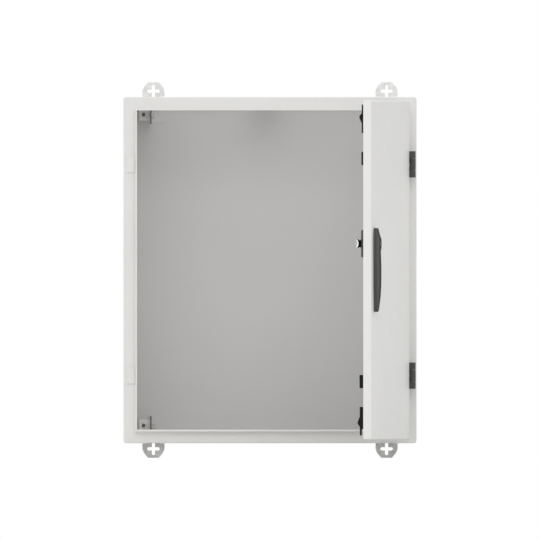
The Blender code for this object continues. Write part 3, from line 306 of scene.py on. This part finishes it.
def eased(node, material, edge):
    """A copy of a CAD node with its triangles merged and its edges rounded, in its finish."""
    piece = bpy.data.objects.new(f"finished_{node}", frame["nodes"][node].data.copy())
    bpy.context.scene.collection.objects.link(piece)
    only(piece)
    bpy.ops.mesh.customdata_custom_splitnormals_clear()
    bpy.ops.object.mode_set(mode="EDIT")
    bpy.ops.mesh.select_all(action="SELECT")
    bpy.ops.mesh.remove_doubles(threshold=WELD)
    bpy.ops.mesh.dissolve_limited(angle_limit=math.radians(FLAT_ANGLE))
    bpy.ops.object.mode_set(mode="OBJECT")
    ease_edges(piece, edge)
    piece.data.materials.clear()
    piece.data.materials.append(material)
    stand_for(piece, node)
    return piece


eased("cabinet_shell", grey_paint, PAINT_EDGE)

# ---- Back panel ----
# A plain grey sheet welded into the back, with four recesses pressed in from behind for the
# lugs. Its coat is thinner and duller than the shell's.
PANEL_COLOUR = (0.62, 0.612, 0.605)
PANEL_EDGE = 0.0003
panel_paint = grouped_material(
    "panel_paint", coat, PANEL_COLOUR, metallic=0.0, gloss=0.3, Roughness=0.55, Grain=900.0, Relief=0.15
)
eased("back_panel", panel_paint, PANEL_EDGE)

# ---- Wall lugs and inner brackets ----
# Stamped steel: the zinc-plated lugs hang the box on the wall, and the paler galvanised
# brackets carry an inner frame. Both coatings are a little cloudy and finely crystalline.
ZINC_COLOUR = (0.68, 0.675, 0.665)
GALVANISED_COLOUR = (0.92, 0.915, 0.905)
# Dark steel: painted shade on the front end of each bracket's upright, which lies in shadow, and the blackened
# finish of the bracket screws.
SHADE_AND_BLACKENED_COLOUR = (0.19, 0.19, 0.19)
SHADED_END_DEPTH = 0.0008
ZINC_EDGE = 0.0003
CORNERS = ("top_left", "top_right", "bottom_left", "bottom_right")

plate, plate_in = new_group("zinc_plating", "Roughness", "Grain")
haze = noise_on_object(plate, 120.0, 4.0, 0.6)
crystals = noise_on_object(plate, plate_in.outputs["Grain"], 3.0, 0.7)
spangle = bump(plate, crystals, 0.12, 0.0001)
wire_finish(plate, plate_in, haze, (0.88, 1.08), crystals, (0.75, 1.25), spangle)
zinc = grouped_material(
    "zinc_plated_steel", plate, ZINC_COLOUR, metallic=0.85, gloss=0.5, Roughness=0.38, Grain=900.0
)
galvanised = grouped_material(
    "galvanised_steel", plate, GALVANISED_COLOUR, metallic=0.0, gloss=0.4, Roughness=0.5, Grain=700.0
)
# The dark steel paints shade on the uprights' front ends and is the bracket screws' blackened finish.
shade_and_blackened_steel = grouped_material(
    "shade_and_blackened_steel", plate, SHADE_AND_BLACKENED_COLOUR, metallic=0.3, gloss=0.3, Roughness=0.6, Grain=1500.0
)


def paint_shade_on_upright_end(piece):
    """Paints shade in dark steel on the end of the bracket's upright, which faces the front and lies in shadow."""
    front = min(vertex.co.y for vertex in piece.data.vertices)
    piece.data.materials.append(shade_and_blackened_steel)
    for polygon in piece.data.polygons:
        if polygon.center.y - front < SHADED_END_DEPTH:
            polygon.material_index = 1


# Each bracket gets painted shade in dark steel on its upright's front end.
for corner in CORNERS:
    eased(f"wall_lug_{corner}", zinc, ZINC_EDGE)
    paint_shade_on_upright_end(eased(f"frame_bracket_{corner}", galvanised, ZINC_EDGE))

# ---- Screws ----
# Round heads with six-lobed sockets, zinc plated where nothing else is said. Each is turned
# from its head down, its socket pressed in, and its rim and tip eased.
LOBES = 6
HEAD_SIDES = 36
SOCKET_SHARE = 0.52  # of the head's radius
RIM_SHARE = 0.14
SOCKET_DEPTH = 0.55  # of the head's thickness
RIM_RISE = 0.12
LOBE_REACH = 0.14
SCREW_EDGE = 0.00025
SHANK_EDGE = 0.1  # of the shank's radius, where that is less
FLAT = 0.00001
UPRIGHT = 0.9


def top_faces(mesh):
    """Selects the flat faces that lie highest, in object mode."""
    highest = max(polygon.center.z for polygon in mesh.polygons)
    for polygon in mesh.polygons:
        polygon.select = polygon.normal.z > UPRIGHT and highest - polygon.center.z < FLAT


def bottom_faces(mesh):
    """Selects the flat faces that lie lowest, in object mode."""
    lowest = min(polygon.center.z for polygon in mesh.polygons)
    for polygon in mesh.polygons:
        polygon.select = polygon.normal.z < -UPRIGHT and polygon.center.z - lowest < FLAT


def edit_faces(piece, choose):
    """Goes into edit mode with the faces selected that choose marks."""
    only(piece)
    bpy.ops.object.mode_set(mode="EDIT")
    bpy.ops.mesh.select_mode(type="FACE")
    bpy.ops.mesh.select_all(action="DESELECT")
    bpy.ops.object.mode_set(mode="OBJECT")
    choose(piece.data)
    bpy.ops.object.mode_set(mode="EDIT")


def press(depth):
    """Extrudes the selected face along Z."""
    bpy.ops.mesh.extrude_region_move(TRANSFORM_OT_translate={"value": (0.0, 0.0, depth)})


def model_screw(head_r, head_t, shank_r, length):
    """A screw about Z, its seat at height 0."""
    bpy.ops.object.select_all(action="DESELECT")
    bpy.ops.mesh.primitive_cylinder_add(
        vertices=HEAD_SIDES, radius=head_r, depth=head_t, location=(0.0, 0.0, head_t / 2)
    )
    screw = bpy.context.object
    bpy.ops.object.transform_apply(location=True)
    edit_faces(screw, top_faces)
    bpy.ops.mesh.inset(thickness=head_r * RIM_SHARE)
    bpy.ops.transform.translate(value=(0.0, 0.0, head_t * RIM_RISE))
    bpy.ops.mesh.inset(thickness=head_r * (1.0 - RIM_SHARE - SOCKET_SHARE))
    press(-head_t * SOCKET_DEPTH)
    bpy.ops.object.mode_set(mode="OBJECT")
    for vertex in screw.data.vertices:
        if vertex.co.xy.length < head_r * (SOCKET_SHARE + RIM_SHARE / 2):
            turn = math.atan2(vertex.co.y, vertex.co.x)
            vertex.co.xy = vertex.co.xy * (1.0 + LOBE_REACH * math.cos(LOBES * turn))
    edit_faces(screw, bottom_faces)
    bpy.ops.mesh.inset(thickness=head_r - shank_r)
    press(-length)
    bpy.ops.object.mode_set(mode="OBJECT")
    ease_edges(screw, min(SCREW_EDGE, shank_r * SHANK_EDGE))
    return screw


def fit_screws(nodes, box_of, facing, head_and_shank, turn=Matrix.Identity(4), finish=zinc):
    """One screw for each node, modelled once and copied; turn swings them into their place."""
    head_t, shank_r = head_and_shank
    low, high = box_of(nodes[0])
    size = high - low
    along = max(range(3), key=lambda axis: abs(facing[axis]))
    across = [axis for axis in range(3) if axis != along]
    model = model_screw(size[across[0]] / 2, head_t, shank_r, size[along] - head_t)
    for node in nodes:
        low, high = box_of(node)
        seat = (low + high) / 2
        top = high[along] if facing[along] > 0 else low[along]
        seat[along] = top - facing[along] * head_t
        stand = Vector(facing).to_track_quat("Z", "Y").to_matrix().to_4x4()
        screw = model.copy()
        screw.data = model.data.copy()
        screw.name = f"finished_{node}"
        bpy.context.scene.collection.objects.link(screw)
        screw.data.transform(turn @ Matrix.Translation(seat) @ stand)
        screw.data.materials.append(finish)
        stand_for(screw, node)
    bpy.data.objects.remove(model)


LUG_SCREW = (0.0036, 0.003)  # each: thickness of the head, radius of the shank
BRACKET_SCREW = (0.0024, 0.0025)
MOUNT_SCREW = (0.0028, 0.0025)
LEAF_SCREW = (0.0018, 0.0018)
LOCK_SCREW = (0.0024, 0.002)
TONGUE_SCREW = (0.0032, 0.0022)
TO_FRONT = (0.0, -1.0, 0.0)
TO_BACK = (0.0, 1.0, 0.0)
TO_RIGHT = (1.0, 0.0, 0.0)
fit_screws(
    [f"lug_screw_{corner}_{k}" for corner in CORNERS for k in (1, 2)],
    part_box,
    TO_FRONT,
    LUG_SCREW,
    finish=panel_paint,
)
# The bracket screws are blackened, in the same dark steel that paints shade on the uprights' ends.
fit_screws(
    [f"bracket_screw_{corner}" for corner in CORNERS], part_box, TO_FRONT, BRACKET_SCREW, finish=shade_and_blackened_steel
)

# ---- Hinge covers ----
# Light grey mouldings pressed into the cut-outs of the left flange, where the hinges go when
# the door is hung on that side. Their edges are softer than the steel's.
MOULDED_EDGE = 0.0006
for end in ("upper", "lower"):
    eased(f"hinge_cover_{end}", grey_paint, MOULDED_EDGE)

# ---- Hinges ----
# Die-cast halves in black powder coat on steel pins, clamped to the right flange from inside.
# The coat is glossier than the cabinet's and its texture is finer.
BLACK_COLOUR = (0.048, 0.047, 0.048)
CAST_EDGE = 0.0005
PIN_EDGE = 0.0004
black_paint = grouped_material(
    "black_paint", coat, BLACK_COLOUR, metallic=0.0, gloss=0.5, Roughness=0.3, Grain=1400.0, Relief=0.2
)
for end in ("upper", "lower"):
    eased(f"hinge_mount_{end}", black_paint, CAST_EDGE)
    eased(f"hinge_leaf_{end}", black_paint, CAST_EDGE)
    eased(f"hinge_pin_{end}", zinc, PIN_EDGE)
    eased(f"hinge_clamp_{end}", zinc, ZINC_EDGE)
fit_screws([f"hinge_mount_screw_{end}" for end in ("upper", "lower")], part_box, TO_BACK, MOUNT_SCREW)

# ---- Door ----
# A tray folded from the same sheet and in the same coat as the shell. It stands open, so its
# other pieces are modelled as with the door shut and then swung about the hinge axis.
swing_joint = next(joint for joint in frame["joints"] if joint["name"] == "door_swing")
hinge_axis = Vector(swing_joint["pos_m"])
open_angle = -math.radians(swing_joint["range_deg"][0])
swing = (
    Matrix.Translation(hinge_axis)
    @ Matrix.Rotation(open_angle, 4, "Z")
    @ Matrix.Translation(-hinge_axis)
)
shut = swing.inverted()


def shut_box(node):
    """Lowest and highest corner of a door node, with the door shut."""
    points = [shut @ vertex.co for vertex in frame["nodes"][node].data.vertices]
    return Vector(map(min, *points)), Vector(map(max, *points))


eased("door_panel", grey_paint, PAINT_EDGE)
fit_screws(
    [f"hinge_leaf_screw_{end}_{k}" for end in ("upper", "lower") for k in (1, 2)],
    shut_box,
    TO_RIGHT,
    LEAF_SCREW,
    swing,
)

# ---- Seal ----
# A bead of dark foam poured around the inside of the door, which the rain lip presses into.
# Its skin shows fine cells.
FOAM_COLOUR = (0.075, 0.075, 0.08)
SEAL_WIDTH = 0.012
SEAL_CORNER_R = 0.009
cells, cells_in = new_group("foam_cells", "Roughness")
where = cells.nodes.new("ShaderNodeTexCoord")
voronoi = cells.nodes.new("ShaderNodeTexVoronoi")
voronoi.inputs["Scale"].default_value = 1100.0
cells.links.new(where.outputs["Object"], voronoi.inputs["Vector"])
pores = voronoi.outputs["Distance"]
pits = bump(cells, pores, 0.5, 0.0004)
wire_finish(cells, cells_in, pores, (0.75, 1.25), pores, (0.9, 1.05), pits, (0.0, 0.6))
foam = grouped_material("foam_seal", cells, FOAM_COLOUR, metallic=0.0, gloss=0.2, Roughness=0.92)

low, high = shut_box("door_gasket")
middle = (low + high) / 2
bpy.ops.object.select_all(action="DESELECT")
bpy.ops.mesh.primitive_plane_add(size=1.0, location=middle, rotation=(math.pi / 2, 0.0, 0.0))
seal = bpy.context.object
seal.name = "foam_bead"
seal.scale = (high.x - low.x - SEAL_WIDTH, high.z - low.z - SEAL_WIDTH, 1.0)
bpy.ops.object.transform_apply(location=True, rotation=True, scale=True)
bpy.ops.object.mode_set(mode="EDIT")
bpy.ops.mesh.select_all(action="SELECT")
bpy.ops.mesh.bevel(offset=SEAL_CORNER_R, segments=6, affect="VERTICES")
bpy.ops.mesh.delete(type="ONLY_FACE")
bpy.ops.object.mode_set(mode="OBJECT")
bpy.ops.object.convert(target="CURVE")
seal = bpy.context.object
seal.data.bevel_depth = SEAL_WIDTH / 2
seal.data.bevel_resolution = 4
bpy.ops.object.convert(target="MESH")
seal = bpy.context.object
squeeze = (high.y - low.y) / SEAL_WIDTH
for vertex in seal.data.vertices:
    vertex.co.y = middle.y + (vertex.co.y - middle.y) * squeeze
seal.data.transform(swing)
bpy.ops.object.shade_smooth()
seal.data.materials.clear()
seal.data.materials.append(foam)
stand_for(seal, "door_gasket")

# ---- Lever handle ----
# Glass-filled black plastic: a base screwed on from inside and a lever on the spindle. The
# moulds are spark eroded, which leaves a fine matt grain, and the edges are well rounded.
PLASTIC_COLOUR = (0.088, 0.088, 0.088)
# The jet colour is the lever cover's own black; on the lock's tongue it is painted shade.
JET_AND_SHADE_COLOUR = (0.018, 0.018, 0.019)
PLASTIC_EDGE = 0.0004
grain, grain_in = new_group("moulded_grain", "Roughness", "Grain")
erosion = noise_on_object(grain, grain_in.outputs["Grain"], 3.0, 0.6)
flow = noise_on_object(grain, 26.0, 3.0)
matt = bump(grain, erosion, 0.3, 0.00012)
wire_finish(grain, grain_in, flow, (0.92, 1.1), flow, (0.85, 1.15), matt)
black_plastic = grouped_material(
    "black_plastic", grain, PLASTIC_COLOUR, metallic=0.0, gloss=0.3, Roughness=0.5, Grain=1800.0
)
jet_plastic_and_shade = grouped_material(
    "jet_plastic_and_shade", grain, JET_AND_SHADE_COLOUR, metallic=0.0, gloss=0.06, Roughness=0.6, Grain=1800.0
)

eased("handle_base", black_plastic, PLASTIC_EDGE)
eased("handle_lever", black_plastic, PLASTIC_EDGE)
eased("lock_barrel", zinc, ZINC_EDGE)

# ---- Lever face ----
# A jet black cover clipped over the lever's front, with a small groove around it and a rounded
# rim about the key barrel.
FACE_STATIONS = (  # height above mid-door, height above the door's face, half-width
    (0.0788, 0.0064, 0.0092),
    (0.0735, 0.0074, 0.0122),
    (0.0655, 0.0090, 0.0136),
    (0.0580, 0.0117, 0.0136),
    (0.0410, 0.0117, 0.0136),
    (0.0350, 0.0106, 0.0133),
    (0.0240, 0.0112, 0.0130),
    (0.0060, 0.0117, 0.0127),
    (-0.0280, 0.0117, 0.0121),
    (-0.0470, 0.0107, 0.0116),
    (-0.0620, 0.0092, 0.0110),
    (-0.0730, 0.0078, 0.0103),
    (-0.0788, 0.0066, 0.0084),
)
FACE_MARGIN = 0.0010
FACE_PROUD = 0.0004
FACE_SKIN = 0.0012
FACE_CROWN = 0.6  # share of its proud height that the cover loses towards its sides
FACE_EDGE = 0.0003
FACE_ROWS = 78
FACE_COLUMNS = 10
BARREL_HOLE_R = 0.0086
DRILL_LENGTH = 0.05
RIM_R = 0.0006

handle_joint = next(joint for joint in frame["joints"] if joint["name"] == "handle_turn")
lever_axis = shut @ Vector(handle_joint["pos_m"])


def lever_section(z):
    """Height above the door and half-width of the lever at a level."""
    for (z1, rise1, half1), (z2, rise2, half2) in zip(FACE_STATIONS, FACE_STATIONS[1:]):
        if z >= z2 or z2 == FACE_STATIONS[-1][0]:
            share = (z1 - z) / (z1 - z2)
            return rise1 + (rise2 - rise1) * share, half1 + (half2 - half1) * share


bpy.ops.object.select_all(action="DESELECT")
bpy.ops.mesh.primitive_grid_add(
    x_subdivisions=FACE_COLUMNS, y_subdivisions=FACE_ROWS, size=1.0, rotation=(math.pi / 2, 0.0, 0.0)
)
face = bpy.context.object
face.name = "lever_face"
bpy.ops.object.transform_apply(rotation=True)
top, bottom = FACE_STATIONS[0][0] - FACE_MARGIN, FACE_STATIONS[-1][0] + FACE_MARGIN
for vertex in face.data.vertices:
    across = 2.0 * vertex.co.x
    z = (top + bottom) / 2 + vertex.co.z * (top - bottom)
    rise, half = lever_section(z)
    vertex.co.x = lever_axis.x + across * (half - FACE_MARGIN)
    vertex.co.y = lever_axis.y - rise - FACE_PROUD * (1.0 - FACE_CROWN * across**4)
    vertex.co.z = z
apply_modifier(face, "SOLIDIFY", thickness=FACE_SKIN, offset=-1.0, use_even_offset=False)
bpy.ops.object.select_all(action="DESELECT")
bpy.ops.mesh.primitive_cylinder_add(
    vertices=48,
    radius=BARREL_HOLE_R,
    depth=DRILL_LENGTH,
    location=lever_axis,
    rotation=(math.pi / 2, 0.0, 0.0),
)
drill = bpy.context.object
apply_modifier(face, "BOOLEAN", operation="DIFFERENCE", object=drill, solver="EXACT")
bpy.data.objects.remove(drill)
ease_edges(face, FACE_EDGE)

rim_y = lever_axis.y - lever_section(lever_axis.z)[0] - FACE_PROUD
bpy.ops.object.select_all(action="DESELECT")
bpy.ops.mesh.primitive_torus_add(
    major_radius=BARREL_HOLE_R + RIM_R / 2,
    minor_radius=RIM_R,
    major_segments=64,
    minor_segments=12,
    location=(lever_axis.x, rim_y, lever_axis.z),
    rotation=(math.pi / 2, 0.0, 0.0),
)
rim = bpy.context.object
rim.name = "barrel_rim"
bpy.ops.object.transform_apply(location=True, rotation=True)
bpy.ops.object.shade_smooth()
for piece in (face, rim):
    piece.data.materials.append(jet_plastic_and_shade)
    piece.data.transform(swing)
    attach(piece, "handle")

# ---- Lock ----
# A zinc-plated plate on two pillars, a black cover, and the square spindle with its pinion,
# spacer and trough-shaped tongue. The tongue is jet black as painted shade on its sides, and its tip is pale steel
# as a painted highlight on its lit end.
# A pale steel colour for a painted highlight on the tongue's end face, which catches the light.
LIT_TIP_COLOUR = (0.93, 0.925, 0.915)
HIGHLIGHT_DEPTH = 0.0003
FINE_EDGE = 0.00025
for node in ("lock_plate", "spindle", "pinion"):
    eased(node, zinc, FINE_EDGE)

painted_highlight_tip = grouped_material(
    "painted_highlight_steel", plate, LIT_TIP_COLOUR, metallic=0.6, gloss=0.5, Roughness=0.3, Grain=1200.0
)
# The tongue's body is jet black as painted shade on its convex sides, which lie in shadow and mirror the dark. Its
# tip takes the pale steel as a painted highlight on the lit end face. Body and tip are one steel.
tongue = eased("latch_tongue", jet_plastic_and_shade, FINE_EDGE)
tongue.data.materials.append(painted_highlight_tip)
tip = min((shut @ vertex.co).x for vertex in tongue.data.vertices)
for polygon in tongue.data.polygons:
    if (shut @ polygon.center).x - tip < HIGHLIGHT_DEPTH:
        polygon.material_index = 1
eased("lock_cover", black_plastic, CAST_EDGE)
eased("tongue_spacer", jet_plastic_and_shade, PLASTIC_EDGE)
fit_screws(["lock_screw_1", "lock_screw_2"], shut_box, TO_BACK, LOCK_SCREW, swing)
fit_screws(["tongue_screw"], shut_box, TO_BACK, TONGUE_SCREW, swing)

# ---- Locking rods ----
# Flat zinc-plated rods with racks at the pinion, in black guides on the door, and a black shoe
# riveted to each outer end.
for end in ("upper", "lower"):
    eased(f"{end}_rod", zinc, FINE_EDGE)
    eased(f"{end}_rod_shoe", jet_plastic_and_shade, MOULDED_EDGE)
    eased(f"{end}_shoe_rivet", zinc, ZINC_EDGE)
    eased(f"rod_guide_{end}", jet_plastic_and_shade, MOULDED_EDGE)
